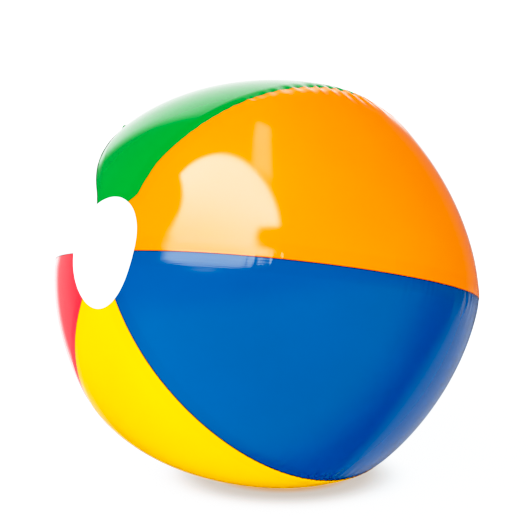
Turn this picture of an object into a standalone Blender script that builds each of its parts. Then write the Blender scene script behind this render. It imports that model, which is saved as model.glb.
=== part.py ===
"""An inflated beach ball: six welded film gores, two end discs and a push-in blow-up valve.

Metres, +Z up. The origin is on the floor below the ball's centre, where the ball rests on a small flat
patch of its yellow gore. +Y is the valve's axis, pointing out of the ball. The ball's poles lie along a
line tilted POLE_TILT from the floor.
"""

import math

import bmesh
import bpy
from mathutils import Matrix, Vector

HALF_GORE = math.radians(30.0)
UPRIGHT_TO_Y = math.radians(-90.0)  # turns local Z to the valve's +Y

# the inflated ball
BALL_RADIUS = 0.170  # to a seam, at the middle of the gores
POLE_RATIO = 1.0203  # height to a pole over BALL_RADIUS, before the dimple
POLE_DIMPLE = 0.0065  # how far the poles are drawn in
POLE_DIMPLE_WIDTH = 0.0705
GORE_SAG = 0.0431  # how much nearer the axis a gore's middle is than its seams, at mid height
GORE_SAG_LOSS = 0.0617  # what the sag loses towards the poles
SEAM_SOFTNESS = 0.10  # 0 is a sharp ridge at each seam
POLE_TILT = math.radians(15.0)
CONTACT_DEPTH = 0.0012  # the ball's own weight flattens it this far

# the welded film
FILM = 0.0003
GAP = 0.0003  # between pieces that touch
LAP = 0.007  # how far a tucked gore reaches under its neighbours
JOGGLE = 0.0006  # length of the step down to the lap
TIP_RADIUS = 0.010  # where the gores' tips are cut off
TIP_LAP = math.radians(20.0)  # most that a lap turns about the pole
END_DISC_RADIUS = 0.0375

# the valve
VALVE_POLAR_ANGLE = math.radians(34.9)  # from the far pole
VALVE_SINK = 0.0005  # the flat seat lies this far below the round skin
SEAT_RADIUS = 0.0175
SEAT_CLEARANCE = 0.022
HOLE_RADIUS = 0.012
FLANGE_BORE = 0.011
FLANGE_THICKNESS = 0.001
STEM_RADIUS = 0.0047
STEM_BORE = 0.0032
STEM_LENGTH = 0.0123
RIM_RADIUS = 0.0053
RIM_HEIGHT = 0.0003  # above the film
RIM_DEPTH = 0.0010
COLLAR_RADIUS = 0.0062
COLLAR_DEPTH = 0.0012
WEB_THICKNESS = 0.0005
PLUG_HEAD_RADIUS = 0.0050
PLUG_HEAD_DEPTH = 0.0014
STOPPER_LENGTH = 0.004
NOSE_RADIUS = 0.0012
STRAP_WIDTH = 0.0030
STRAP_THICKNESS = 0.0008
LUG_THICKNESS = 0.0010
PLUG_PIVOT = 0.0085  # from the valve's axis
PIVOT_HEIGHT = 0.0010  # above the film
FLAP_RADIUS = 0.0043
FLAP_THICKNESS = 0.0006

# mesh fineness
CAP_ROWS = 3
BODY_ROWS = 24
GORE_COLUMNS = 7
CAP_SEGMENTS = 48
VALVE_SEGMENTS = 24
SEAT_SEGMENTS = 24
STOPPER_ROWS = 4

FILM_ROUGHNESS = 0.18
VINYL_ROUGHNESS = 0.25
VINYL_ALPHA = 0.6

# colour, and the longitude of the gore's middle about the front pole
GORES = {
    "green_gore": ((0.0, 0.50, 0.05), 30),
    "orange_gore": ((1.0, 0.35, 0.0), -30),
    "blue_gore": ((0.0, 0.14, 0.47), -90),
    "yellow_gore": ((1.0, 0.80, 0.0), -150),
    "red_gore": ((1.0, 0.03, 0.06), 150),
    "white_gore": ((0.95, 0.95, 0.95), 90),
}
TUCKED = ("green_gore", "blue_gore", "red_gore")  # welded under their neighbours' edges
WHITE = (0.95, 0.95, 0.95)
CLEAR = (0.85, 0.88, 0.90)


def skin_point(longitude, latitude, depth=0.0):
    """A point of the inflated skin. Longitude 0 is a gore's middle; depth is inwards."""
    seam_wave = math.cos(3 * longitude)
    ridge = math.hypot(seam_wave, SEAM_SOFTNESS) - SEAM_SOFTNESS
    ridge /= math.hypot(1.0, SEAM_SOFTNESS) - SEAM_SOFTNESS
    sag = GORE_SAG - GORE_SAG_LOSS * (1 - math.cos(latitude))
    radius = (BALL_RADIUS - depth) * math.cos(latitude) * (1 - sag * ridge)
    dimple = POLE_DIMPLE * math.exp(-((radius / POLE_DIMPLE_WIDTH) ** 2))
    height = (BALL_RADIUS * POLE_RATIO - depth) * math.sin(latitude)
    height -= math.copysign(dimple, latitude)
    return Vector((radius * math.cos(longitude), radius * math.sin(longitude), height))


def latitude_facing(polar_angle):
    """The latitude at which a gore's middle is seen from the centre at this angle from the far pole."""
    low, high = math.radians(-89), 0.0
    for _ in range(50):
        middle = (low + high) / 2
        point = skin_point(0.0, middle)
        if math.atan2(point.x, -point.z) < polar_angle:
            low = middle
        else:
            high = middle
    return middle


def lowest_point(down):
    """How far the skin reaches from the ball's centre along the direction down."""
    steps = range(-30, 31)
    return max(
        skin_point(math.radians(column), math.radians(row)).dot(down)
        for column in steps
        for row in steps
    )


def pole_frame():
    """The ball's turn: its Z is the front pole, its Y is the white gore's side, where the valve is."""
    across = math.cos(math.pi - VALVE_POLAR_ANGLE)
    up = math.sin(POLE_TILT)
    pole = Vector((-math.sqrt(1 - across**2 - up**2), across, up))
    valve_side = (Vector((0, 1, 0)) - pole * across).normalized()
    return Matrix((valve_side.cross(pole), valve_side, pole)).transposed()


def material(name, colour, roughness, alpha=1.0):
    made = bpy.data.materials.new(name)
    made.use_nodes = True
    shader = made.node_tree.nodes["Principled BSDF"]
    shader.inputs["Base Color"].default_value = (*colour, 1.0)
    shader.inputs["Roughness"].default_value = roughness
    shader.inputs["Metallic"].default_value = 0.0
    shader.inputs["Alpha"].default_value = alpha
    return made


def piece(name, bm, parent, finish):
    """A named object made from a finished bmesh."""
    mesh = bpy.data.meshes.new(name)
    bm.to_mesh(mesh)
    bm.free()
    mesh.shade_smooth()
    mesh.set_sharp_from_angle(angle=math.radians(35))
    mesh.materials.append(finish)
    made = bpy.data.objects.new(name, mesh)
    made.parent = parent
    bpy.context.scene.collection.objects.link(made)
    return made


def thicken(made, thickness):
    """Film thickness, inwards from the outer face."""
    solidify = made.modifiers.new("film", "SOLIDIFY")
    solidify.thickness = thickness
    solidify.offset = -1
    solidify.use_even_offset = True


def face_outwards(bm):
    """The skin's faces all turned away from the ball's centre."""
    bmesh.ops.recalc_face_normals(bm, faces=bm.faces)
    out = sum(face.normal.dot(face.calc_center_median()) for face in bm.faces)
    if out < 0:
        bmesh.ops.reverse_faces(bm, faces=bm.faces)


def cap_latitudes():
    """From a gore's tip to the end disc's edge, front pole."""
    tip = math.acos(TIP_RADIUS / BALL_RADIUS)
    edge = math.acos(END_DISC_RADIUS / BALL_RADIUS)
    return [tip + (edge - tip) * row / CAP_ROWS for row in range(CAP_ROWS + 1)]


def gore_latitudes():
    front = cap_latitudes()
    edge = front[-1]
    body = [edge - 2 * edge * row / BODY_ROWS for row in range(1, BODY_ROWS)]
    return front + body + [-latitude for latitude in reversed(front)]


def gore_columns(latitude, tucked):
    """(longitude, depth) across a gore at one latitude. A tucked gore has a lap along both edges."""
    girth = BALL_RADIUS * math.cos(latitude)
    metre = min(1.0, TIP_LAP * girth / LAP) / girth  # radians for a metre along the girth
    seam = HALF_GORE
    if tucked:
        under = FILM + GAP
        reach = seam - JOGGLE * metre
        edge = [(seam, under), (seam + LAP / 2 * metre, under), (seam + LAP * metre, under)]
    else:
        reach = seam - LAP * metre
        edge = [(seam - GAP * metre, 0.0)]
    share = 2 * reach / (GORE_COLUMNS - 1)
    face = [(share * column - reach, 0.0) for column in range(GORE_COLUMNS)]
    start = [(-longitude, depth) for longitude, depth in reversed(edge)]
    return start + face + edge


def gore_sheet(tucked):
    """A grid wrapped onto the skin, one gore with its laps."""
    latitudes = gore_latitudes()
    rows = len(latitudes) - 1
    columns = len(gore_columns(0.0, tucked)) - 1
    bm = bmesh.new()
    bmesh.ops.create_grid(bm, x_segments=columns, y_segments=rows, size=0.5)
    for vert in bm.verts:
        column = round((vert.co.x + 0.5) * columns)
        latitude = latitudes[round((vert.co.y + 0.5) * rows)]
        longitude, depth = gore_columns(latitude, tucked)[column]
        vert.co = skin_point(longitude, latitude, depth)
    return bm


def flatten_on_floor(bm, floor):
    """The skin below the floor plane pushed up onto it. floor places the floor in the gore's frame."""
    point, up = floor.translation, floor.to_3x3().col[2]
    everything = bm.verts[:] + bm.edges[:] + bm.faces[:]
    bmesh.ops.bisect_plane(bm, geom=everything, dist=1e-6, plane_co=point, plane_no=up)
    for vert in bm.verts:
        height = (vert.co - point).dot(up)
        if height < 0:
            vert.co -= up * height


def open_valve_seat(bm, seat):
    """A round hole with a flat rim let into the skin. seat places the seat's centre, its Z outwards."""
    inverse = seat.inverted()
    close = {vert for vert in bm.verts if (inverse @ vert.co).length < SEAT_CLEARANCE}
    near = {face for face in bm.faces if close.intersection(face.verts)}
    rim = [edge for edge in bm.edges if len(near.intersection(edge.link_faces)) == 1]
    bmesh.ops.delete(bm, geom=list(near), context="FACES")
    ring = bmesh.ops.create_circle(bm, segments=SEAT_SEGMENTS, radius=SEAT_RADIUS, matrix=seat)
    ring_edges = list({edge for vert in ring["verts"] for edge in vert.link_edges})
    bmesh.ops.bridge_loops(bm, edges=rim + ring_edges)
    made = bmesh.ops.extrude_edge_only(bm, edges=ring_edges)
    inner = [vert for vert in made["geom"] if isinstance(vert, bmesh.types.BMVert)]
    shrink = HOLE_RADIUS / SEAT_RADIUS
    bmesh.ops.scale(bm, verts=inner, vec=(shrink, shrink, shrink), space=inverse)


def turned(profile, segments):
    """A closed solid turned about Z from a closed loop of (radius, height) corners."""
    bm = bmesh.new()
    corners = [bm.verts.new((radius, 0.0, height)) for radius, height in profile]
    loop = [bm.edges.new((a, b)) for a, b in zip(corners, corners[1:] + corners[:1])]
    bmesh.ops.spin(
        bm,
        geom=corners + loop,
        axis=(0, 0, 1),
        angle=math.tau,
        steps=segments,
        use_merge=True,
    )
    bmesh.ops.remove_doubles(bm, verts=bm.verts, dist=1e-7)
    bmesh.ops.dissolve_degenerate(bm, edges=bm.edges, dist=1e-7)
    loose = [edge for edge in bm.edges if not edge.link_faces]
    bmesh.ops.delete(bm, geom=loose, context="EDGES")
    bmesh.ops.recalc_face_normals(bm, faces=bm.faces)
    return bm


def plate(length, width, thickness, centre):
    """A flat bar along Y with rounded upright edges."""
    bm = bmesh.new()
    size = Matrix.Diagonal((width, length, thickness, 1.0))
    bmesh.ops.create_cube(bm, size=1.0, matrix=Matrix.Translation(centre) @ size)
    upright = [e for e in bm.edges if abs(e.verts[0].co.z - e.verts[1].co.z) > thickness / 2]
    bmesh.ops.bevel(
        bm,
        geom=upright,
        offset=min(width, length) / 5,
        offset_type="OFFSET",
        affect="EDGES",
        segments=2,
        profile=0.5,
        material=-1,
    )
    return bm


def end_disc(name, ball, turn, finish):
    """A round cap of film over the gores' tips, following the dimple."""
    bm = bmesh.new()
    latitudes = [math.pi / 2, *cap_latitudes()]
    profile = [bm.verts.new((math.cos(row), 0.0, math.sin(row))) for row in latitudes]
    edges = [bm.edges.new(pair) for pair in zip(profile, profile[1:])]
    bmesh.ops.spin(
        bm,
        geom=profile + edges,
        axis=(0, 0, 1),
        angle=math.tau,
        steps=CAP_SEGMENTS,
        use_merge=True,
    )
    bmesh.ops.remove_doubles(bm, verts=bm.verts, dist=1e-6)
    for vert in bm.verts:
        longitude = math.atan2(vert.co.y, vert.co.x) + HALF_GORE
        latitude = math.asin(min(1.0, vert.co.z))
        point = skin_point(longitude, latitude, -(FILM + GAP))
        vert.co = Matrix.Rotation(-HALF_GORE, 3, "Z") @ point
    face_outwards(bm)
    made = piece(name, bm, ball, finish)
    made.rotation_euler = turn
    thicken(made, FILM)


def cover_gores(ball, seat_height):
    """The six gores. The yellow one is flat where it rests, and the white one holds the valve."""
    floor_in_ball = ball.matrix_world.inverted()
    for name, (colour, longitude) in GORES.items():
        turn = Matrix.Rotation(math.radians(longitude), 4, "Z")
        bm = gore_sheet(name in TUCKED)
        face_outwards(bm)
        if name == "yellow_gore":
            flatten_on_floor(bm, turn.inverted() @ floor_in_ball)
        if name == "white_gore":
            seat = Matrix.Translation((0, seat_height, ball.location.z))
            seat = seat @ Matrix.Rotation(UPRIGHT_TO_Y, 4, "X")
            open_valve_seat(bm, turn.inverted() @ floor_in_ball @ seat)
            face_outwards(bm)
        made = piece(name, bm, ball, material(name, colour, FILM_ROUGHNESS))
        made.rotation_euler = (0, 0, math.radians(longitude))
        thicken(made, FILM)


def fit_flange(valve, finish):
    """The ring welded under the film round the hole."""
    top = -FILM - GAP
    bottom = top - FLANGE_THICKNESS
    outer = SEAT_RADIUS - GAP
    profile = [(FLANGE_BORE, top), (outer, top), (outer, bottom), (FLANGE_BORE, bottom)]
    piece("valve_flange", turned(profile, VALVE_SEGMENTS), valve, finish)


def fit_web(valve, finish):
    """The thin rolling skin from the flange down to the stem's collar, stem pushed in."""
    top = -FILM - GAP
    foot = RIM_HEIGHT - STEM_LENGTH
    mouth = FLANGE_BORE - GAP
    throat = COLLAR_RADIUS + GAP
    profile = [
        (mouth, top),
        (mouth, top - FLANGE_THICKNESS),
        (throat + WEB_THICKNESS, foot + COLLAR_DEPTH),
        (throat + WEB_THICKNESS, foot),
        (throat, foot),
        (throat, foot + COLLAR_DEPTH),
        (mouth - WEB_THICKNESS, top - FLANGE_THICKNESS),
        (mouth - WEB_THICKNESS, top),
    ]
    piece("valve_web", turned(profile, VALVE_SEGMENTS), valve, finish)


def fit_stem(slide, finish):
    """The blow tube, with a rim at its mouth, a collar at its foot and a lug for the plug's strap."""
    foot = RIM_HEIGHT - STEM_LENGTH
    profile = [
        (STEM_BORE, RIM_HEIGHT),
        (RIM_RADIUS, RIM_HEIGHT),
        (RIM_RADIUS, RIM_HEIGHT - RIM_DEPTH),
        (STEM_RADIUS, RIM_HEIGHT - 2 * RIM_DEPTH),
        (STEM_RADIUS, foot + 2 * COLLAR_DEPTH),
        (COLLAR_RADIUS, foot + COLLAR_DEPTH),
        (COLLAR_RADIUS, foot),
        (STEM_BORE, foot),
    ]
    stem = piece("valve_stem", turned(profile, VALVE_SEGMENTS), slide, finish)
    inner = (STEM_BORE + RIM_RADIUS) / 2
    reach = PLUG_PIVOT + LUG_THICKNESS - inner
    centre = (0, -inner - reach / 2, RIM_HEIGHT - LUG_THICKNESS / 2)
    lug = piece("lug_shape", plate(reach, STRAP_WIDTH, LUG_THICKNESS, centre), slide, finish)
    lug.hide_render = True
    lug.display_type = "WIRE"
    join = stem.modifiers.new("lug", "BOOLEAN")
    join.operation = "UNION"
    join.solver = "EXACT"
    join.object = lug


def stopper_radius(below_rim):
    """The fattest stopper that swings out of the bore past its far side."""
    reach = math.hypot(PLUG_PIVOT + STEM_BORE, PIVOT_HEIGHT - RIM_HEIGHT) - GAP
    drop = PIVOT_HEIGHT - RIM_HEIGHT + below_rim
    return math.sqrt(reach**2 - drop**2) - PLUG_PIVOT


def fit_plug(hinge, finish):
    """The plug lies in the stem's mouth, its strap reaching back to the hinge axis."""
    head_bottom = RIM_HEIGHT + GAP - PIVOT_HEIGHT
    head_top = head_bottom + PLUG_HEAD_DEPTH
    rim = RIM_HEIGHT - PIVOT_HEIGHT
    bevel = PLUG_HEAD_DEPTH / 4
    profile = [
        (0.0, head_top),
        (PLUG_HEAD_RADIUS - bevel, head_top),
        (PLUG_HEAD_RADIUS, head_top - bevel),
        (PLUG_HEAD_RADIUS, head_bottom),
        (stopper_radius(0.0), head_bottom),
    ]
    for step in range(STOPPER_ROWS):
        below = step * STOPPER_LENGTH / STOPPER_ROWS
        profile.append((stopper_radius(below), rim - below))
    profile.append((NOSE_RADIUS, rim - STOPPER_LENGTH))
    profile.append((0.0, rim - STOPPER_LENGTH))
    bm = turned(profile, VALVE_SEGMENTS)
    bmesh.ops.translate(bm, verts=bm.verts, vec=(0, PLUG_PIVOT, 0))
    piece("valve_plug", bm, hinge, finish)
    length = PLUG_PIVOT - PLUG_HEAD_RADIUS - 2 * GAP
    centre = (0, GAP + length / 2, head_bottom + STRAP_THICKNESS / 2)
    strap = plate(length, STRAP_WIDTH, STRAP_THICKNESS, centre)
    piece("plug_strap", strap, hinge, finish)


def fit_flap(hinge, finish):
    """The check flap under the stem's foot, hinged at its edge."""
    half = FLAP_THICKNESS / 2
    profile = [(0.0, half), (FLAP_RADIUS, half), (FLAP_RADIUS, -half), (0.0, -half)]
    bm = turned(profile, VALVE_SEGMENTS)
    bmesh.ops.translate(bm, verts=bm.verts, vec=(0, STEM_RADIUS, 0))
    piece("check_flap", bm, hinge, finish)


def axis_empty(name, parent, location, turn=(0, 0, 0)):
    made = bpy.data.objects.new(name, None)
    made.empty_display_size = 0.01
    made.parent = parent
    made.location = location
    made.rotation_euler = turn
    bpy.context.scene.collection.objects.link(made)
    bpy.context.view_layer.update()
    return made


def build_valve(ball, seat_height):
    """Everything on the valve's axis. Local Z is outwards, and local -Y is up."""
    soft = material("valve_vinyl", CLEAR, VINYL_ROUGHNESS, VINYL_ALPHA)
    seat = (0, seat_height, ball.location.z)
    valve = axis_empty("valve_axis", None, seat, (UPRIGHT_TO_Y, 0, 0))
    fit_flange(valve, soft)
    fit_web(valve, soft)
    slide = axis_empty("stem_slide", valve, (0, 0, 0))
    fit_stem(slide, soft)
    fit_plug(axis_empty("plug_hinge", slide, (0, -PLUG_PIVOT, PIVOT_HEIGHT)), soft)
    flap_height = RIM_HEIGHT - STEM_LENGTH - GAP - FLAP_THICKNESS / 2
    fit_flap(axis_empty("flap_hinge", slide, (0, -STEM_RADIUS, flap_height)), soft)


def main():
    for old in list(bpy.data.objects):
        bpy.data.objects.remove(old, do_unlink=True)
    turn = pole_frame()
    yellow_turn = Matrix.Rotation(math.radians(GORES["yellow_gore"][1]), 3, "Z")
    yellow_down = yellow_turn.transposed() @ turn.transposed() @ Vector((0, 0, -1))
    centre_height = lowest_point(yellow_down) - CONTACT_DEPTH
    ball = axis_empty("ball_axis", None, (0, 0, centre_height), turn.to_euler())
    seat_height = skin_point(0.0, latitude_facing(VALVE_POLAR_ANGLE)).length - VALVE_SINK
    cover_gores(ball, seat_height)
    white = material("end_disc_white", WHITE, FILM_ROUGHNESS)
    end_disc("front_end_disc", ball, (0, 0, 0), white)
    end_disc("back_end_disc", ball, (math.pi, 0, 0), white)
    build_valve(ball, seat_height)


main()
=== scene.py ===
import math

import bmesh
import bpy
import numpy as np
from mathutils import Matrix, Vector


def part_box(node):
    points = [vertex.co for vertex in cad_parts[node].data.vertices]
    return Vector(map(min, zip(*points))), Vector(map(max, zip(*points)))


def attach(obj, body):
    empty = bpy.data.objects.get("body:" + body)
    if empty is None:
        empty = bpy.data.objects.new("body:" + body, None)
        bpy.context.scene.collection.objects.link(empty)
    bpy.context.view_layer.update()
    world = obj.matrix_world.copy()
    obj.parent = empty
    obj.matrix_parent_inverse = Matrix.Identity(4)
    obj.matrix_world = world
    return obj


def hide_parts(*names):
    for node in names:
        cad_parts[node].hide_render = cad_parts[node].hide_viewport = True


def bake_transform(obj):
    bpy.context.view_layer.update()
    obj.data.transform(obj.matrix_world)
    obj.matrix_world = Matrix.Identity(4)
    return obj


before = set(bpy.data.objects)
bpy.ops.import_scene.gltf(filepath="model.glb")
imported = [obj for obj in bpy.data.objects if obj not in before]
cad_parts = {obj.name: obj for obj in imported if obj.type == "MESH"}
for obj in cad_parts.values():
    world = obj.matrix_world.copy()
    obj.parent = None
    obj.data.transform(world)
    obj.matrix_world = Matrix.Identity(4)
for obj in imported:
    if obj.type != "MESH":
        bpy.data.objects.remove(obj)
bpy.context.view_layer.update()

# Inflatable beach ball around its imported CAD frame. Metres, +Z up, +Y along the valve.

ball = {
    "radius": 0.170,  # to a seam, half way between the poles
    "poleRatio": 1.0203,
    "dimple": 0.0065,  # how far the poles are drawn in
    "dimpleWidth": 0.0705,
    "sag": 0.0431,  # a gore's middle lies this share nearer the axis
    "sagLoss": 0.0617,
    "seamSoftness": 0.10,
    "poleTilt": math.radians(15.0),
    "valveAngle": math.radians(34.9),  # from the far pole
    "tipRadius": 0.010,
    "poleFade": 0.2,  # the dimples fade in over this latitude either side of the middle
}
film = {
    "thickness": 0.0003,
    "lapGap": 0.00004,
    "lap": 0.007,  # how far a tucked gore reaches under its neighbours
    "rise": 0.009,  # the tucked film comes up to the common skin over this width
    "bead": 0.00010,  # squeezed-out edge of the upper film
    "beadWidth": 0.0006,
    "waviness": 0.00010,
    "creaseShare": 0.28,  # the upper film sinks by this share of the step past the lap
    "creaseIn": (-0.0018, 0.0032),
    "creaseOut": (0.012, 0.034),
}
flangeLow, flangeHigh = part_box("valve_flange")
ballCentre = np.array([0.0, 0.0, (flangeLow.z + flangeHigh.z) / 2])
sixth = math.tau / 6


def ballTurn():
    # columns are the ball's own axes: Z is the near pole, Y the valve's side
    across = math.cos(math.pi - ball["valveAngle"])
    up = math.sin(ball["poleTilt"])
    pole = np.array([-math.sqrt(1 - across**2 - up**2), across, up])
    side = np.array([0.0, 1.0, 0.0]) - pole * across
    side /= np.linalg.norm(side)
    return np.stack([np.cross(side, pole), side, pole], axis=1)


turn = ballTurn()


def skinPoint(longitude, latitude):
    # the smooth inflated skin in the ball's axes, a seam at every sixth of a turn
    soft = ball["seamSoftness"]
    ridge = np.hypot(np.cos(3 * (longitude - sixth / 2)), soft) - soft
    ridge = ridge / (math.hypot(1.0, soft) - soft)
    sag = ball["sag"] - ball["sagLoss"] * (1 - np.cos(latitude))
    radius = ball["radius"] * np.cos(latitude) * (1 - sag * ridge)
    height = ball["radius"] * ball["poleRatio"] * np.sin(latitude)
    pole = np.clip(latitude / ball["poleFade"], -1.0, 1.0)
    height = height - pole * ball["dimple"] * np.exp(-((radius / ball["dimpleWidth"]) ** 2))
    return np.stack([radius * np.cos(longitude), radius * np.sin(longitude), height], axis=-1)


def skinNormal(longitude, latitude, step=1e-4):
    east = skinPoint(longitude + step, latitude) - skinPoint(longitude - step, latitude)
    north = skinPoint(longitude, latitude + step) - skinPoint(longitude, latitude - step)
    normal = np.cross(east, north)
    return normal / np.linalg.norm(normal, axis=-1, keepdims=True)


def ease(value, low, high):
    # 0 below low, 1 above high, smooth between
    share = np.clip((value - low) / (high - low), 0.0, 1.0)
    return share * share * (3 - 2 * share)


# Each run: from and to latitude, spacing, height at each end, ridge width, reach east, reach west, jitter
seamRuns = {
    0: [  # green east, orange west
        (56, 33, 9.5, 0.30, 0.50, 2.9, 3, 9, 0.20),
        (33, 19, 10.0, 0.5, 1.1, 3.4, 8, 14, 0.15),
        (19, -20, 11.0, 1.6, 1.7, 3.6, 11, 18, 0.10),
        (-20, -46, 10.5, 1.7, 0.4, 3.2, 13, 14, 0.20),
    ],
    -60: [  # orange east, blue west
        (17, 1, 4.6, 0.14, 0.20, 1.3, 4, 17, 0.30),
        (-5, -27, 5.8, 0.24, 0.34, 1.9, 6, 15, 0.25),
        (-27, -46, 8.0, 0.5, 0.3, 2.6, 10, 12, 0.25),
    ],
    -120: [  # blue east, yellow west
        (28, 6, 5.0, 0.16, 0.34, 1.5, 13, 4, 0.25),
        (6, -14, 5.2, 0.36, 0.45, 1.7, 14, 6, 0.20),
        (-14, -42, 8.0, 0.10, 0.12, 2.8, 12, 10, 0.20),
    ],
    180: [(30, -44, 9.0, 0.5, 0.8, 2.9, 12, 12, 0.22)],
    120: [(34, -42, 9.6, 0.6, 1.1, 3.0, 12, 13, 0.22)],
    60: [(22, -44, 10.2, 0.6, 1.4, 3.2, 13, 13, 0.20)],
}
# Single pinches: seam, latitude, across, height, width, reach, all in millimetres but the first two
pinches = [
    (0, 73.9, 1.2, 0.22, 1.0, 3.0),
    (0, 37.0, -3.0, 0.35, 1.6, 4.5),
    (-60, 73.6, 2.4, 0.22, 0.9, 3.0),
    (-60, 50.1, -1.5, 0.16, 1.0, 4.0),
    (-60, 48.2, -2.0, 0.20, 1.1, 4.0),
    (-60, 44.2, -2.5, 0.24, 0.8, 3.0),
    (-60, 41.8, 2.2, 0.24, 0.8, 2.6),
    (-60, 15.4, 5.0, 0.20, 1.2, 6.0),
    (180, 70.0, -2.0, 0.20, 1.2, 3.5),
    (60, 42.0, -2.0, 1.8, 1.6, 3.0),
    (60, -68.0, 2.0, 0.25, 1.2, 4.0),
    (120, -71.0, -2.0, 0.25, 1.2, 4.0),
]
# The film swells on both sides of a seam, so the seam lies in a shallow valley: depth, width
valleys = {0: (0.30, 5.0), 60: (0.25, 5.0), 120: (0.25, 5.0), 180: (0.20, 5.0)}
# Near the near end disc two seams swing aside: distance from the pole, width and shift of each swing
kinks = {
    0: ((0.0485, 0.0070, 0.0043), (0.0600, 0.0085, 0.0024)),
    60: ((0.0440, 0.0140, 0.0045), (0.0640, 0.0140, 0.0020)),
}
kinkReach = 0.020
# The shape that all puckers share: foot and spread of the ridge, the dip round it, how fast it ends
pucker = {"foot": 0.8, "spread": 0.9, "dip": 0.42, "dipWidth": 3.0, "fall": 1.7}
random = np.random.default_rng(20)


def puckersOf(runs):
    # place along the seam, height, width, reaches and slant of every ridge in a seam's runs, in metres
    made = []
    for start, end, spacing, low, high, width, east, west, jitter in runs:
        length = ball["radius"] * math.radians(abs(start - end)) * 1000
        count = max(2, round(length / spacing))
        for step in range(count):
            share = (step + 0.5) / count
            place = ball["radius"] * math.radians(start + (end - start) * share) * 1000
            place += random.uniform(-jitter, jitter) * spacing
            height = (low + (high - low) * share) * random.uniform(0.75, 1.2)
            made.append((
                place / 1000,
                height / 1000,
                width * random.uniform(0.85, 1.2) / 1000,
                east * random.uniform(0.8, 1.2) / 1000,
                west * random.uniform(0.8, 1.2) / 1000,
                random.uniform(-0.25, 0.25),
            ))
    return made


puckers = {seam: puckersOf(runs) for seam, runs in seamRuns.items()}
waves = [
    (random.normal(size=3) * wave, random.uniform(0, math.tau), 18.0 / wave)
    for wave in (26.0, 34.0, 45.0, 60.0, 80.0, 110.0)
]
print("puckers:", sum(len(rows) for rows in puckers.values()))


def fromSeam(longitude, latitude, seam):
    # metres east of a seam
    angle = (longitude - math.radians(seam) + math.pi) % math.tau - math.pi
    return angle * ball["radius"] * np.cos(latitude)


def bulge(longitude, latitude):
    # how far the puckers and the film's slight waviness stand out from the smooth skin
    out = np.zeros_like(longitude)
    along = ball["radius"] * latitude
    for seam, rows in puckers.items():
        across = fromSeam(longitude, latitude, seam)
        for place, height, width, east, west, slant in rows:
            reach = np.where(across > 0, east, west)
            part = np.abs(across) / reach
            wide = width * (pucker["foot"] + pucker["spread"] * part)
            ridge = np.exp(-(((along - place - slant * across) / wide) ** 2))
            dip = np.exp(-(((along - place) / (width * pucker["dipWidth"])) ** 2))
            out += height * np.exp(-(part ** pucker["fall"])) * (ridge - pucker["dip"] * dip)
        depth, width = valleys.get(seam, (0.0, 1.0))
        fade = ease(np.cos(latitude), 0.35, 0.60)
        out -= fade * depth / 1000 * np.exp(-((across * 1000 / width) ** 2))
    for seam, lat, aside, height, width, reach in pinches:
        across = (fromSeam(longitude, latitude, seam) * 1000 - aside) / reach
        near = (along * 1000 - ball["radius"] * math.radians(lat) * 1000) / width
        out += height / 1000 * np.exp(-(across**2) - near**2)
    point = skinPoint(longitude, latitude)
    for direction, phase, weight in waves:
        out += film["waviness"] * weight * 0.25 * np.sin(point @ direction + phase)
    return out


def bentLongitude(longitude, latitude):
    radius = ball["radius"] * np.cos(latitude)
    turned = longitude
    for seam, places in kinks.items():
        across = fromSeam(longitude, latitude, seam)
        shift = sum(aside * np.exp(-(((radius - place) / width) ** 2)) for place, width, aside in places)
        shift = shift * np.where(latitude > 0, 1.0, 0.0) * np.exp(-((across / kinkReach) ** 2))
        turned = turned - shift / np.maximum(radius, 0.02)
    return turned


def toWorld(points):
    return points @ turn.T + ballCentre


def settle(points):
    # the ball's weight flattens it on the floor
    points[:, 2] = np.maximum(points[:, 2], 0.0)
    return points


valve = {
    "height": flangeHigh.y + film["thickness"] * 2,  # the seat plane, along +Y
    "flat": 0.0178,
    "blendOut": 0.030,
    "hole": 0.012,
    "cut": 0.0140,
    "weldRings": (0.0165, 0.0150, 0.0135),
    "weldDepth": 0.00009,
}


def seatValve(points):
    # the skin drawn flat round the valve, with fine weld rings
    away = points - ballCentre
    radius = np.hypot(away[:, 0], away[:, 2])
    behind = away[:, 1] > 0
    share = np.where(behind, 1 - ease(radius, valve["flat"], valve["blendOut"]), 0.0)
    level = valve["height"]
    for ring in valve["weldRings"]:
        level = level - valve["weldDepth"] * np.exp(-(((radius - ring) / 0.00035) ** 2))
    points[:, 1] += (level - points[:, 1]) * share
    return points


def link(tree, value, socket):
    if isinstance(value, bpy.types.NodeSocket):
        tree.links.new(value, socket)
    else:
        socket.default_value = value


def calc(tree, operation, *values, clamp=False):
    node = tree.nodes.new("ShaderNodeMath")
    node.operation = operation
    node.use_clamp = clamp
    for socket, value in zip(node.inputs, values):
        link(tree, value, socket)
    return node.outputs[0]


def smooth(tree, value, low, high, start=0.0, end=1.0):
    node = tree.nodes.new("ShaderNodeMapRange")
    node.interpolation_type = "SMOOTHSTEP"
    for socket, item in zip(node.inputs, (value, low, high, start, end)):
        link(tree, item, socket)
    return node.outputs[0]


def mixColour(tree, factor, first, second, blend="MIX"):
    node = tree.nodes.new("ShaderNodeMix")
    node.data_type = "RGBA"
    node.blend_type = blend
    link(tree, factor, node.inputs[0])
    link(tree, first, node.inputs[6])
    link(tree, second, node.inputs[7])
    return node.outputs[2]


def noise(tree, vector, scale, detail=2.0, roughness=0.5):
    node = tree.nodes.new("ShaderNodeTexNoise")
    node.inputs["Scale"].default_value = scale
    node.inputs["Detail"].default_value = detail
    node.inputs["Roughness"].default_value = roughness
    tree.links.new(vector, node.inputs["Vector"])
    return node.outputs[0]


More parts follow.
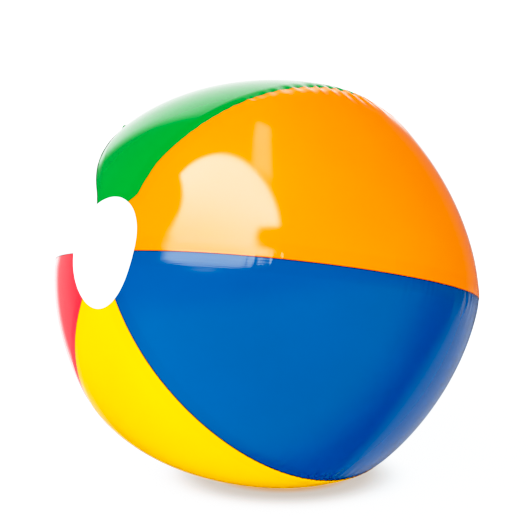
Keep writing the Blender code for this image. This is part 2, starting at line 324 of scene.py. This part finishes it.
def newGroup(name, inputs, outputs):
    tree = bpy.data.node_groups.new(name, "ShaderNodeTree")
    for label, kind, value in inputs:
        socket = tree.interface.new_socket(name=label, in_out="INPUT", socket_type=kind)
        if value is not None:
            socket.default_value = value
    for label, kind in outputs:
        tree.interface.new_socket(name=label, in_out="OUTPUT", socket_type=kind)
    return tree, tree.nodes.new("NodeGroupInput"), tree.nodes.new("NodeGroupOutput")


def calenderedFilm():
    # rolled PVC film: faint orange peel, soft smears in the gloss, streaks in the weld band along a seam
    tree, source, sink = newGroup(
        "calenderedFilm",
        [
            ("Vector", "NodeSocketVector", None),
            ("Seam", "NodeSocketVector", None),
            ("Gloss", "NodeSocketFloat", 0.06),
            ("Smear", "NodeSocketFloat", 0.05),
            ("Weld Width", "NodeSocketFloat", 0.011),
        ],
        [("Shade", "NodeSocketFloat"), ("Roughness", "NodeSocketFloat"), ("Height", "NodeSocketFloat")],
    )
    place = source.outputs["Vector"]
    peel = noise(tree, place, 420.0, 2.0, 0.45)
    smear = noise(tree, place, 22.0, 3.0, 0.55)
    cloud = noise(tree, place, 9.0, 2.0, 0.5)
    seam = tree.nodes.new("ShaderNodeSeparateXYZ")
    tree.links.new(source.outputs["Seam"], seam.inputs[0])
    stretched = tree.nodes.new("ShaderNodeCombineXYZ")
    link(tree, seam.outputs[0], stretched.inputs[0])
    link(tree, calc(tree, "MULTIPLY", seam.outputs[1], 0.03), stretched.inputs[1])
    streak = noise(tree, stretched.outputs[0], 900.0, 2.0, 0.6)
    weld = source.outputs["Weld Width"]
    band = smooth(tree, seam.outputs[0], weld, calc(tree, "MULTIPLY", weld, 0.8))
    streakHeight = calc(tree, "MULTIPLY", calc(tree, "MULTIPLY", streak, band), 9.0)
    link(tree, calc(tree, "ADD", calc(tree, "MULTIPLY", peel, 0.5), streakHeight), sink.inputs["Height"])
    gloss = calc(tree, "MULTIPLY", smooth(tree, smear, 0.35, 0.75), source.outputs["Smear"])
    gloss = calc(tree, "ADD", gloss, calc(tree, "MULTIPLY", band, 0.02))
    link(tree, calc(tree, "ADD", gloss, source.outputs["Gloss"], clamp=True), sink.inputs["Roughness"])
    shade = smooth(tree, cloud, 0.3, 0.7, 1.0, 0.93)
    shade = calc(tree, "SUBTRACT", shade, calc(tree, "MULTIPLY", band, 0.03))
    # right beside the seam the film is darker, in a thin line
    shade = calc(tree, "MULTIPLY", shade, smooth(tree, seam.outputs[0], 0.0, 0.0009, 0.40, 1.0))
    link(tree, shade, sink.inputs["Shade"])
    return tree


filmGroup = calenderedFilm()


def newMaterial(name):
    made = bpy.data.materials.new(name)
    made.use_nodes = True
    tree = made.node_tree
    return made, tree, tree.nodes["Principled BSDF"]


def filmMaterial(name, colour, gloss=0.075, specular=0.5):
    made, tree, shader = newMaterial(name)
    place = tree.nodes.new("ShaderNodeTexCoord")
    seam = tree.nodes.new("ShaderNodeAttribute")
    seam.attribute_name = "seam"
    group = tree.nodes.new("ShaderNodeGroup")
    group.node_tree = filmGroup
    group.inputs["Gloss"].default_value = gloss
    tree.links.new(place.outputs["Object"], group.inputs["Vector"])
    tree.links.new(seam.outputs["Vector"], group.inputs["Seam"])
    tint = tree.nodes.new("ShaderNodeCombineColor")
    for socket in tint.inputs[:3]:
        tree.links.new(group.outputs["Shade"], socket)
    shaded = mixColour(tree, 1.0, (*colour, 1.0), tint.outputs[0], "MULTIPLY")
    tree.links.new(shaded, shader.inputs["Base Color"])
    tree.links.new(group.outputs["Roughness"], shader.inputs["Roughness"])
    bump = tree.nodes.new("ShaderNodeBump")
    bump.inputs["Strength"].default_value = 0.6
    bump.inputs["Distance"].default_value = 0.00001
    tree.links.new(group.outputs["Height"], bump.inputs["Height"])
    tree.links.new(bump.outputs[0], shader.inputs["Normal"])
    shader.inputs["IOR"].default_value = 1.5
    shader.inputs["Specular IOR Level"].default_value = specular
    return made


filmColours = {
    "green_gore": (0.001, 0.152, 0.021),
    "orange_gore": (0.90, 0.133, 0.001),
    "blue_gore": (0.001, 0.047, 0.150),
    "yellow_gore": (0.93, 0.33, 0.0),
    "red_gore": (0.75, 0.022, 0.030),
    "white_gore": (0.88, 0.88, 0.87),
}
filmMaterials = {
    name: filmMaterial(name.replace("_gore", "Film"), colour) for name, colour in filmColours.items()
}
discMaterial = filmMaterial("discFilm", (0.90, 0.90, 0.89), gloss=0.09)


def vinylMaterial():
    # soft clear moulded PVC, slightly milky, with a faint mould grain
    made, tree, shader = newMaterial("valveVinyl")
    place = tree.nodes.new("ShaderNodeTexCoord")
    grain = noise(tree, place.outputs["Object"], 1500.0, 2.0, 0.5)
    cloud = noise(tree, place.outputs["Object"], 160.0, 2.0, 0.5)
    colour = mixColour(tree, smooth(tree, cloud, 0.3, 0.7), (0.74, 0.78, 0.80, 1.0), (0.86, 0.88, 0.88, 1.0))
    tree.links.new(colour, shader.inputs["Base Color"])
    tree.links.new(smooth(tree, cloud, 0.25, 0.75, 0.16, 0.28), shader.inputs["Roughness"])
    bump = tree.nodes.new("ShaderNodeBump")
    bump.inputs["Strength"].default_value = 0.25
    bump.inputs["Distance"].default_value = 0.00003
    tree.links.new(grain, bump.inputs["Height"])
    tree.links.new(bump.outputs[0], shader.inputs["Normal"])
    shader.inputs["IOR"].default_value = 1.5
    shader.inputs["Alpha"].default_value = 0.82
    return made


vinyl = vinylMaterial()
print("materials:", len(bpy.data.materials))


gores = {
    # middle of the gore about the near pole, and whether its edges lie on top
    "green_gore": (30, False),
    "orange_gore": (-30, True),
    "blue_gore": (-90, False),
    "yellow_gore": (-150, True),
    "red_gore": (150, False),
    "white_gore": (90, True),
}
goreMesh = {
    "rows": 470,
    "middleColumns": 26,
    "edge": (  # millimetres in from the seam
        0.0, 0.25, 0.5, 0.8, 1.2, 1.8, 2.6, 3.5, 4.4, 5.3, 6.2,
        6.9, 7.6, 8.4, 9.4, 10.6, 12, 13.6, 15.4, 17.4, 20, 23,
    ),
    "tuck": (-7.0, -6.1, -5.2, -4.3, -3.4, -2.6, -1.8, -1.1, -0.5),
}


def goreColumns(onTop):
    # places across a gore: metres from its own edge seam, west half then east half
    edge = goreMesh["edge"] if onTop else goreMesh["tuck"] + goreMesh["edge"]
    return np.array(edge) / 1000


def goreGrid(name):
    longitude, onTop = gores[name]
    edge = goreColumns(onTop)
    columns = 2 * len(edge) + goreMesh["middleColumns"]
    rows = goreMesh["rows"]
    bm = bmesh.new()
    bmesh.ops.create_grid(bm, x_segments=columns - 1, y_segments=rows, size=0.5)
    mesh = bpy.data.meshes.new(name.replace("_gore", "Film"))
    bm.to_mesh(mesh)
    bm.free()
    flat = np.zeros(len(mesh.vertices) * 3)
    mesh.vertices.foreach_get("co", flat)
    flat = flat.reshape(-1, 3)
    column = np.rint((flat[:, 0] + 0.5) * (columns - 1)).astype(int)
    row = np.rint((flat[:, 1] + 0.5) * rows)
    tip = math.acos(ball["tipRadius"] / ball["radius"])
    latitude = tip * (1 - 2 * row / rows)
    return mesh, latitude, column, edge, columns


def goreAcross(column, latitude, edge, columns):
    # metres east of the gore's middle, and metres inwards from its nearer seam
    half = ball["radius"] * np.cos(latitude) * sixth / 2
    squeeze = np.minimum(1.0, half / 0.030)  # the edge columns close up near the tips
    last = edge[-1] * squeeze
    side = np.where(column < columns / 2, -1.0, 1.0)
    index = np.where(side < 0, column, columns - 1 - column)
    inner = index - len(edge)
    count = goreMesh["middleColumns"]
    inEdge = edge[np.minimum(index, len(edge) - 1)] * squeeze
    share = (inner + 1) / (count + 1)
    inMiddle = last + (half - last) * np.minimum(share * 2, 1.0)
    inward = np.where(inner < 0, inEdge, inMiddle)
    return side * (half - inward), inward, half


def lapDepth(inward, onTop):
    step = film["thickness"] + film["lapGap"]
    if onTop:
        bead = film["bead"] * np.exp(-((inward / film["beadWidth"]) ** 2))
        sunk = ease(inward, *(film["lap"] + end for end in film["creaseIn"]))
        return step * film["creaseShare"] * sunk * (1 - ease(inward, *film["creaseOut"])) - bead
    return step * (1 - ease(inward, 0.0, film["rise"]))


def sheetSize(points, rows, columns):
    # width, length and area of the smooth cut, in metres
    grid = points.reshape(rows + 1, columns, 3)
    across = np.linalg.norm(np.diff(grid, axis=1), axis=2).sum(axis=1)
    length = np.linalg.norm(np.diff(grid[:, columns // 2], axis=0), axis=1).sum()
    integrate = np.trapezoid if hasattr(np, "trapezoid") else np.trapz
    return across.max(), length, integrate(across, dx=length / rows)


def solidify(piece, thickness):
    wall = piece.modifiers.new("film", "SOLIDIFY")
    wall.thickness = thickness
    wall.offset = -1
    wall.use_even_offset = False
    wall.use_quality_normals = True


def addAttribute(mesh, name, values):
    attribute = mesh.attributes.new(name, "FLOAT_VECTOR", "POINT")
    attribute.data.foreach_set("vector", values.astype(np.float32).ravel())


def faceOutwards(mesh, centre):
    # the skin's faces all turned away from the ball's centre
    bm = bmesh.new()
    bm.from_mesh(mesh)
    middle = Vector(centre)
    inward = sum((face.normal.dot(face.calc_center_median() - middle) < 0) for face in bm.faces)
    if inward > len(bm.faces) / 2:
        bmesh.ops.reverse_faces(bm, faces=bm.faces)
    bm.to_mesh(mesh)
    bm.free()


def addObject(name, mesh, material):
    mesh.shade_smooth()
    mesh.materials.append(material)
    made = bpy.data.objects.new(name, mesh)
    bpy.context.scene.collection.objects.link(made)
    return made


def openSeat(mesh):
    # a clean round hole for the valve
    bm = bmesh.new()
    bm.from_mesh(mesh)
    centre = Vector((0.0, valve["height"], ballCentre[2]))
    close = {vert for vert in bm.verts if (vert.co - centre).length < valve["cut"]}
    near = {face for face in bm.faces if close.intersection(face.verts)}
    rim = [edge for edge in bm.edges if len(near.intersection(edge.link_faces)) == 1]
    bmesh.ops.delete(bm, geom=list(near), context="FACES")
    place = Matrix.Translation(centre) @ Matrix.Rotation(math.radians(-90), 4, "X")
    ring = bmesh.ops.create_circle(bm, segments=128, radius=valve["hole"], matrix=place)
    ringEdges = list({edge for vert in ring["verts"] for edge in vert.link_edges})
    bmesh.ops.bridge_loops(bm, edges=rim + ringEdges)
    bm.to_mesh(mesh)
    bm.free()


def makeGore(name):
    longitude, onTop = gores[name]
    mesh, latitude, column, edge, columns = goreGrid(name)
    across, inward, half = goreAcross(column, latitude, edge, columns)
    east = math.radians(longitude) + across / (ball["radius"] * np.cos(latitude))
    smoothSkin = skinPoint(east, latitude)
    sheetSize(smoothSkin, goreMesh["rows"], columns)
    bent = bentLongitude(east, latitude)
    out = bulge(east, latitude) - lapDepth(inward, onTop)
    points = skinPoint(bent, latitude) + skinNormal(bent, latitude) * out[:, None]
    points = settle(toWorld(points))
    if name == "white_gore":
        points = seatValve(points)
    mesh.vertices.foreach_set("co", points.ravel())
    seam = np.stack([np.maximum(inward, 0.0), latitude * ball["radius"], np.zeros_like(inward)], axis=1)
    addAttribute(mesh, "seam", seam)
    mesh.update()
    if name == "white_gore":
        openSeat(mesh)
    faceOutwards(mesh, ballCentre)
    gore = addObject(name.replace("_gore", "Film"), mesh, filmMaterials[name])
    solidify(gore, film["thickness"])
    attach(gore, "ball")
    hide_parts(name)
    return gore


for goreName in gores:
    makeGore(goreName)


disc = {
    "radius": 0.0376,
    "offCentre": 0.0007,  # welded a little off the pole, towards this longitude
    "offLongitude": math.radians(56),
    "oval": 0.0019,
    "ovalLongitude": math.radians(18),
    "lobe": 0.0014,
    "lobeLongitude": math.radians(-19),
    "rings": 26,
    "segments": 240,
    "lift": 0.00034,
}


def discEdge(longitude, near):
    if not near:
        return disc["radius"] - 0.0006 + 0.0008 * np.cos(2 * longitude)
    egg = disc["offCentre"] * np.cos(longitude - disc["offLongitude"])
    oval = disc["oval"] * np.cos(2 * (longitude - disc["ovalLongitude"]))
    return disc["radius"] + egg + oval + disc["lobe"] * np.cos(3 * (longitude - disc["lobeLongitude"]))


def makeDisc(name, node, near):
    bm = bmesh.new()
    shares = [step / disc["rings"] for step in range(disc["rings"])] + [0.985, 1.0]
    profile = [bm.verts.new((share, 0.0, 0.0)) for share in shares]
    edges = [bm.edges.new(pair) for pair in zip(profile, profile[1:])]
    bmesh.ops.spin(
        bm, geom=profile + edges, axis=(0, 0, 1), angle=math.tau, steps=disc["segments"], use_merge=True
    )
    bmesh.ops.remove_doubles(bm, verts=bm.verts, dist=1e-6)
    mesh = bpy.data.meshes.new(name)
    bm.to_mesh(mesh)
    bm.free()
    flat = np.zeros(len(mesh.vertices) * 3)
    mesh.vertices.foreach_get("co", flat)
    flat = flat.reshape(-1, 3)
    share = np.hypot(flat[:, 0], flat[:, 1])
    longitude = np.arctan2(flat[:, 1], flat[:, 0])
    radius = share * discEdge(longitude, near)
    latitude = np.arccos(np.minimum(radius / ball["radius"], 1.0)) * (1 if near else -1)
    out = bulge(longitude, latitude) * ease(radius, 0.004, 0.012)
    lift = disc["lift"] - 0.00018 * ease(share, 0.985, 1.0)
    offPole = -1e-3 if near else 1e-3  # the normal is taken just off the pole, where it is defined
    normal = skinNormal(longitude, latitude + offPole)
    points = skinPoint(longitude, latitude) + normal * (out + lift)[:, None]
    mesh.vertices.foreach_set("co", toWorld(points).ravel())
    inward = (1 - share) * disc["radius"]
    addAttribute(mesh, "seam", np.stack([inward, longitude * disc["radius"], 0 * inward], axis=1))
    mesh.update()
    faceOutwards(mesh, ballCentre)
    made = addObject(name, mesh, discMaterial)
    solidify(made, film["thickness"])
    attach(made, "ball")
    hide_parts(node)
    return made


makeDisc("nearDisc", "front_end_disc", True)
makeDisc("farDisc", "back_end_disc", False)
print("end discs")


# Built along its own axis first: local Z is outwards, local -Y is up.
valveSeat = Matrix.Translation((0.0, valve["height"], ballCentre[2]))
valveTurn = valveSeat @ Matrix.Rotation(math.radians(-90), 4, "X")


def turned(profile, segments=96):
    # a closed solid turned about Z from a closed loop of (radius, height) corners, millimetres
    bm = bmesh.new()
    corners = [bm.verts.new((radius / 1000, 0.0, height / 1000)) for radius, height in profile]
    loop = [bm.edges.new(pair) for pair in zip(corners, corners[1:] + corners[:1])]
    bmesh.ops.spin(bm, geom=corners + loop, axis=(0, 0, 1), angle=math.tau, steps=segments, use_merge=True)
    bmesh.ops.remove_doubles(bm, verts=bm.verts, dist=1e-7)
    bmesh.ops.dissolve_degenerate(bm, edges=bm.edges, dist=1e-7)
    loose = [edge for edge in bm.edges if not edge.link_faces]
    bmesh.ops.delete(bm, geom=loose, context="EDGES")
    bmesh.ops.recalc_face_normals(bm, faces=bm.faces)
    return bm


def bar(length, width, thickness, centre, rounding=0.25):
    # a bar along Y with rounded upright corners, millimetres
    bm = bmesh.new()
    size = Matrix.Diagonal((width / 1000, length / 1000, thickness / 1000, 1.0))
    place = Matrix.Translation(Vector(centre) / 1000)
    bmesh.ops.create_cube(bm, size=1.0, matrix=place @ size)
    upright = [edge for edge in bm.edges if abs(edge.verts[0].co.z - edge.verts[1].co.z) > thickness / 2000]
    bmesh.ops.bevel(
        bm,
        geom=upright,
        offset=min(width, length) * rounding / 1000,
        offset_type="OFFSET",
        affect="EDGES",
        segments=6,
        profile=0.5,
        material=-1,
    )
    return bm


def valvePiece(name, bm, bevel=0.0, turnBy=valveTurn):
    bm.transform(turnBy)
    mesh = bpy.data.meshes.new(name)
    bm.to_mesh(mesh)
    bm.free()
    made = addObject(name, mesh, vinyl)
    mesh.set_sharp_from_angle(angle=math.radians(50))
    if bevel:
        soft = made.modifiers.new("softEdge", "BEVEL")
        soft.width = bevel / 1000
        soft.segments = 3
        soft.limit_method = "ANGLE"
        soft.angle_limit = math.radians(40)
        soft.harden_normals = False
    return made


def merged(first, second):
    # second's faces added to first
    mesh = bpy.data.meshes.new("joined")
    second.to_mesh(mesh)
    second.free()
    first.from_mesh(mesh)
    bpy.data.meshes.remove(mesh)
    return first


plug = {"pivot": 8.5, "head": 5.0}  # both out from the axis

flange = valvePiece(
    "valveFlange",
    turned([
        (11.0, -0.6), (14.0, -0.62), (17.1, -0.6), (17.2, -1.0), (16.6, -1.6), (12.0, -1.6), (11.0, -1.3),
    ]),
    0.08,
)
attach(flange, "ball")
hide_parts("valve_flange")

# the rolling skin between the flange and the stem's collar, a shallow bellows
webOuter = [(10.7, -0.6), (10.7, -1.7)]
webSteps = 14
for step in range(1, webSteps):
    share = step / webSteps
    swell = 0.22 * math.sin(share * math.tau * 2.5)
    webOuter.append((10.7 - 3.7 * share + swell, -1.7 - 9.1 * share))
webOuter += [(7.0, -10.8), (7.0, -12.0)]
webInner = [(radius - 0.5, height) for radius, height in reversed(webOuter)]
web = valvePiece("valveWeb", turned(webOuter + webInner), 0.0)

bm = turned([
    (3.2, 0.3), (4.1, 0.36), (5.0, 0.3), (5.3, 0.0), (5.3, -0.7), (4.9, -1.2), (4.7, -1.7),
    (4.7, -4.4), (4.95, -4.7), (4.95, -5.2), (4.7, -5.5),
    (4.7, -9.6), (5.2, -10.3), (6.2, -10.8), (6.2, -12.0), (3.2, -12.0),
])
reach = plug["pivot"] + 1.0 - 4.25
bm = merged(bm, bar(reach, 3.0, 1.0, (0, -4.25 - reach / 2, -0.2)))
stemPiece = valvePiece("valveStem", bm, 0.08)
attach(stemPiece, "stem")
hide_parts("valve_stem")

bm = turned([
    (0.0, 1.75), (3.1, 1.75), (3.5, 2.0), (4.6, 2.0), (5.0, 1.7), (5.0, 0.9), (4.8, 0.6),
    (2.95, 0.6), (2.9, -0.6), (3.0, -1.0), (2.85, -1.5), (2.5, -2.6), (1.9, -3.4), (1.2, -3.7), (0.0, -3.7),
])
bm = merged(bm, bar(2.6, 4.4, 0.9, (0, 5.2, 1.35), 0.45))  # the pull tab on the side away from the strap
plugPiece = valvePiece("valvePlug", bm, 0.06)
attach(plugPiece, "plug")
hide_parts("valve_plug")

# the soft strap from the lug to the plug's head
strapLength = plug["pivot"] - plug["head"] + 0.9
bm = bar(strapLength, 2.6, 0.8, (0, -plug["pivot"] - 0.6 + strapLength / 2, 1.05), 0.2)
bmesh.ops.subdivide_edges(
    bm,
    edges=[edge for edge in bm.edges if abs(edge.verts[0].co.y - edge.verts[1].co.y) > strapLength / 2500],
    cuts=10,
)
strap = valvePiece("plugStrap", bm, 0.0)
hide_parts("plug_strap")

flapCentre = -12.3 - 0.3
bm = turned([(0.0, 0.3), (3.9, 0.3), (4.3, 0.15), (4.3, -0.3), (1.6, -0.3), (1.4, -0.15), (0.0, -0.15)])
bmesh.ops.translate(bm, verts=bm.verts, vec=(0, 0, flapCentre / 1000))
flap = valvePiece("checkFlap", bm, 0.0)
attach(flap, "flap")
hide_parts("check_flap")

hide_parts("valve_web")
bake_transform(web)
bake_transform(strap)
print("valve")


studio = {
    "floorSize": 12.0,
    "keyAzimuth": math.radians(-18),
    "keyElevation": math.radians(43),
    "keyRadius": 0.63,
    "keyDiffuse": 13.0,
    "keyGloss": 13.5,
    "stripGloss": 3.7,
    "ambient": 0.45,
    "overhead": 0.5,
    "shadowGlow": 0.46,  # the seen floor's painted light: dim as a painted shadow close to the ball, bright further out
    "openGlow": 1.7,
    "shadowSize": (0.084, 0.060),
    "shadowAside": 0.013,
    "shadowColour": (0.90, 1.02, 1.10, 1.0),
    "paintedContactLight": (1.09, 0.62, 0.42, 1.0),  # painted warm light of the yellow film on the paper under it
    "floorBounce": (0.35, 0.75, 1.0, 1.0),
    "bounceStrength": 1.45,
    "backdropAzimuth": math.radians(-158),
    "backdropHalf": math.radians(25),
    "backdropGloss": 1.60,
    "roomGloss": 0.55,
    "floorGloss": 0.60,
    "behindGloss": 0.28,
    "seenWhite": 2.5,  # the background that the camera sees
    "lowSides": ((150, -32, 0.88, 0.97, 0.60), (-125, -10, 0.88, 0.98, 0.36)),  # lit floor at either side
    "black": 0.06,
    "white": 2.0,
    "shoulder": ((0.098, 0.202), (0.227, 0.468), (0.381, 0.70), (0.515, 0.83), (0.69, 0.945)),
}
camera = {
    "azimuth": math.radians(14),
    "elevation": math.radians(9),
    "distance": 0.74757,
    "aside": -0.00208,
    "rise": 0.02083,
    "lens": 61.56,
}


def skyDirection(azimuth, elevation):
    level = math.cos(elevation)
    return Vector((math.sin(azimuth) * level, -math.cos(azimuth) * level, math.sin(elevation)))


def dot(tree, vector, direction):
    node = tree.nodes.new("ShaderNodeVectorMath")
    node.operation = "DOT_PRODUCT"
    tree.links.new(vector, node.inputs[0])
    node.inputs[1].default_value = direction
    return node.outputs["Value"]


def mixValue(tree, share, first, second):
    # first where share is 0, second where it is 1
    kept = calc(tree, "MULTIPLY", first, calc(tree, "SUBTRACT", 1.0, share))
    return calc(tree, "ADD", kept, calc(tree, "MULTIPLY", second, share))


def studioWorld():
    world = bpy.data.worlds.new("studio")
    bpy.context.scene.world = world
    world.use_nodes = True
    tree = world.node_tree
    back = tree.nodes["Background"]
    place = tree.nodes.new("ShaderNodeTexCoord").outputs["Generated"]
    axis = skyDirection(studio["keyAzimuth"], studio["keyElevation"])
    side = axis.cross(Vector((0, 0, 1))).normalized()
    above = side.cross(axis)
    ahead = calc(tree, "MAXIMUM", dot(tree, place, axis), 0.02)
    p = calc(tree, "DIVIDE", dot(tree, place, side), ahead)
    q = calc(tree, "DIVIDE", dot(tree, place, above), ahead)
    # the softbox is round above, flares at one low corner and has the stand's notch at the other side
    radius = calc(tree, "SQRT", calc(tree, "ADD", calc(tree, "MULTIPLY", p, p), calc(tree, "MULTIPLY", q, q)))
    flare = calc(tree, "MULTIPLY", smooth(tree, p, 0.30, 0.60), smooth(tree, q, 0.0, -0.20))
    radius = calc(tree, "SUBTRACT", radius, calc(tree, "MULTIPLY", flare, 0.16))
    box = smooth(tree, radius, studio["keyRadius"] + 0.04, studio["keyRadius"] - 0.04)
    low = calc(tree, "SUBTRACT", q, 0.05)
    dent = calc(tree, "ADD", calc(tree, "MULTIPLY", calc(tree, "MULTIPLY", low, low), 2.1), 0.415)
    box = calc(tree, "MULTIPLY", box, smooth(tree, calc(tree, "SUBTRACT", dent, p), -0.035, 0.035))
    bottom = calc(tree, "SUBTRACT", calc(tree, "MULTIPLY", calc(tree, "MULTIPLY", p, p), 0.6), 0.585)
    box = calc(tree, "MULTIPLY", box, smooth(tree, calc(tree, "SUBTRACT", q, bottom), -0.05, 0.05))
    depth = calc(tree, "SUBTRACT", -0.44, p)
    middle = calc(tree, "ADD", calc(tree, "MULTIPLY", depth, 0.3), 0.02)
    fromMiddle = calc(tree, "ABSOLUTE", calc(tree, "SUBTRACT", q, middle))
    notch = smooth(tree, calc(tree, "SUBTRACT", fromMiddle, calc(tree, "MULTIPLY", depth, 0.3)), 0.115, 0.055)
    notch = calc(tree, "MULTIPLY", notch, smooth(tree, p, -0.35, -0.43))
    box = calc(tree, "MULTIPLY", box, calc(tree, "SUBTRACT", 1.0, notch))
    box = calc(tree, "MULTIPLY", box, smooth(tree, q, -0.75, 0.35, 0.25, 1.0))
    facingKey = smooth(tree, dot(tree, place, axis), 0.02, 0.10)  # nothing on the side away from the key
    box = calc(tree, "MULTIPLY", box, facingKey)
    # the narrow strip light overhead
    lean = calc(tree, "ADD", calc(tree, "MULTIPLY", q, 0.36), -0.506)
    strip = smooth(tree, calc(tree, "ABSOLUTE", calc(tree, "SUBTRACT", p, lean)), 0.15, 0.07)
    strip = calc(tree, "MULTIPLY", strip, smooth(tree, q, 0.56, 0.70))
    strip = calc(tree, "MULTIPLY", strip, smooth(tree, q, 1.50, 1.38))
    strip = calc(tree, "MULTIPLY", strip, facingKey)
    # white backdrop behind
    split = tree.nodes.new("ShaderNodeSeparateXYZ")
    tree.links.new(place, split.inputs[0])
    upper = split.outputs[2]
    level = calc(tree, "SUBTRACT", 1.0, calc(tree, "MULTIPLY", upper, upper))
    level = calc(tree, "SQRT", calc(tree, "MAXIMUM", level, 0.0001))
    facing = calc(tree, "DIVIDE", dot(tree, place, skyDirection(studio["backdropAzimuth"], 0.0)), level)
    half = studio["backdropHalf"]
    backdrop = smooth(tree, facing, math.cos(half + 0.12), math.cos(half - 0.10))
    backdrop = calc(tree, "MULTIPLY", backdrop, smooth(tree, upper, 0.90, 0.66))
    backdrop = calc(tree, "MULTIPLY", backdrop, smooth(tree, upper, -0.55, -0.30))
    stripShine = calc(tree, "MULTIPLY", strip, studio["stripGloss"])
    gloss = calc(tree, "ADD", calc(tree, "MULTIPLY", box, studio["keyGloss"]), stripShine)
    gloss = calc(tree, "ADD", gloss, calc(tree, "MULTIPLY", backdrop, studio["backdropGloss"]))
    # the dim room, with the lit floor in front of the ball
    front = calc(tree, "MULTIPLY", smooth(tree, upper, 0.10, -0.20), studio["floorGloss"])
    front = calc(tree, "ADD", front, studio["roomGloss"])
    behind = calc(tree, "MULTIPLY", smooth(tree, upper, -0.45, -0.05), studio["behindGloss"])
    facingFront = smooth(tree, dot(tree, place, skyDirection(camera["azimuth"], 0.0)), -0.15, 0.45)
    room = calc(tree, "MULTIPLY", calc(tree, "SUBTRACT", front, behind), facingFront)
    gloss = calc(tree, "ADD", gloss, calc(tree, "ADD", room, behind))
    for azimuth, elevation, outer, inner, amount in studio["lowSides"]:
        towards = skyDirection(math.radians(azimuth), math.radians(elevation))
        gloss = calc(tree, "ADD", gloss, smooth(tree, dot(tree, place, towards), outer, inner, 0.0, amount))
    even = calc(tree, "ADD", calc(tree, "MULTIPLY", box, studio["keyDiffuse"]), studio["ambient"])
    even = calc(tree, "ADD", even, smooth(tree, upper, 0.45, 0.95, 0.0, studio["overhead"]))
    rays = tree.nodes.new("ShaderNodeLightPath")
    strength = mixValue(tree, rays.outputs["Is Glossy Ray"], even, gloss)
    strength = mixValue(tree, rays.outputs["Is Camera Ray"], strength, studio["seenWhite"])
    back.inputs["Color"].default_value = (1, 1, 1, 1)
    tree.links.new(strength, back.inputs["Strength"])


studioWorld()

bm = bmesh.new()
bmesh.ops.create_grid(bm, x_segments=2, y_segments=2, size=studio["floorSize"] / 2)
floorMesh = bpy.data.meshes.new("floor")
bm.to_mesh(floorMesh)
bm.free()
floorMaterial, floorTree, floorShader = newMaterial("floorPaper")
# the paper bounces its light on to the ball and gives off a bluish glow of its own to light it; the seen
# paper is darker, and its own glow paints a small neutral shadow round the contact
floorSeen = floorTree.nodes.new("ShaderNodeLightPath").outputs["Is Camera Ray"]
paper = mixColour(floorTree, floorSeen, (0.93, 0.93, 0.93, 1), (0.25, 0.25, 0.25, 1))
floorTree.links.new(paper, floorShader.inputs["Base Color"])
floorPlace = floorTree.nodes.new("ShaderNodeTexCoord").outputs["Object"]
alongFloor = (math.cos(camera["azimuth"]), math.sin(camera["azimuth"]), 0.0)
acrossFloor = (-math.sin(camera["azimuth"]), math.cos(camera["azimuth"]), 0.0)
alongShadow = calc(floorTree, "SUBTRACT", dot(floorTree, floorPlace, alongFloor), studio["shadowAside"])
alongShadow = calc(floorTree, "DIVIDE", alongShadow, studio["shadowSize"][0])
acrossShadow = calc(floorTree, "DIVIDE", dot(floorTree, floorPlace, acrossFloor), studio["shadowSize"][1])
alongSquare = calc(floorTree, "MULTIPLY", alongShadow, alongShadow)
acrossSquare = calc(floorTree, "MULTIPLY", acrossShadow, acrossShadow)
outwards = calc(floorTree, "SQRT", calc(floorTree, "ADD", alongSquare, acrossSquare))
floorShader.inputs["Roughness"].default_value = 1.0
floorShader.inputs["Specular IOR Level"].default_value = 0.0
# painted shadow: the seen paper glows dimly in an ellipse round the contact and brightly further out
glow = smooth(floorTree, outwards, 0.78, 1.45, studio["shadowGlow"], studio["openGlow"])
glow = calc(floorTree, "SUBTRACT", glow, studio["bounceStrength"])
glow = calc(floorTree, "ADD", calc(floorTree, "MULTIPLY", floorSeen, glow), studio["bounceStrength"])
floorTree.links.new(glow, floorShader.inputs["Emission Strength"])
# painted reflected light: the seen glow turns warm right under the yellow film
offContact = smooth(floorTree, outwards, 0.58, 0.76)
paintedFloorColour = mixColour(floorTree, offContact, studio["paintedContactLight"], studio["shadowColour"])
glowColour = mixColour(floorTree, floorSeen, studio["floorBounce"], paintedFloorColour)
floorTree.links.new(glowColour, floorShader.inputs["Emission Color"])
floor = addObject("floor", floorMesh, floorMaterial)
floor.location.z = -0.0002
floor.visible_glossy = False

warmLight = bpy.data.lights.new("warmFill", "SUN")
warmLight.energy = 0.4
warmLight.angle = math.radians(70)
warmLight.color = (1.0, 0.20, 0.05)
warmFill = bpy.data.objects.new("warmFill", warmLight)
warmFill.visible_glossy = False
warmFill.rotation_euler = skyDirection(math.radians(80), math.radians(28)).to_track_quat("Z", "Y").to_euler()
bpy.context.scene.collection.objects.link(warmFill)

eye = bpy.data.cameras.new("camera")
eye.lens = camera["lens"]
eye.sensor_width = 36.0
eye.clip_start = 0.01
eye.clip_end = 100.0
cameraObject = bpy.data.objects.new("camera", eye)
bpy.context.scene.collection.objects.link(cameraObject)
back = skyDirection(camera["azimuth"], camera["elevation"])
right = Vector((0, 0, 1)).cross(back).normalized()
upward = back.cross(right)
place = Vector(ballCentre) + back * camera["distance"]
place += (right * camera["aside"] + upward * camera["rise"]) * camera["distance"]
cameraObject.matrix_world = Matrix.Translation(place) @ Matrix((right, upward, back)).transposed().to_4x4()
bpy.context.scene.camera = cameraObject

bpy.context.scene.view_settings.view_transform = "Standard"
bpy.context.scene.view_settings.look = "None"
bpy.context.scene.view_settings.use_curve_mapping = True
curves = bpy.context.scene.view_settings.curve_mapping
curves.black_level = (studio["black"],) * 3
curves.white_level = (studio["white"],) * 3
for dark, light in studio["shoulder"]:
    curves.curves[3].points.new(dark, light)
curves.update()
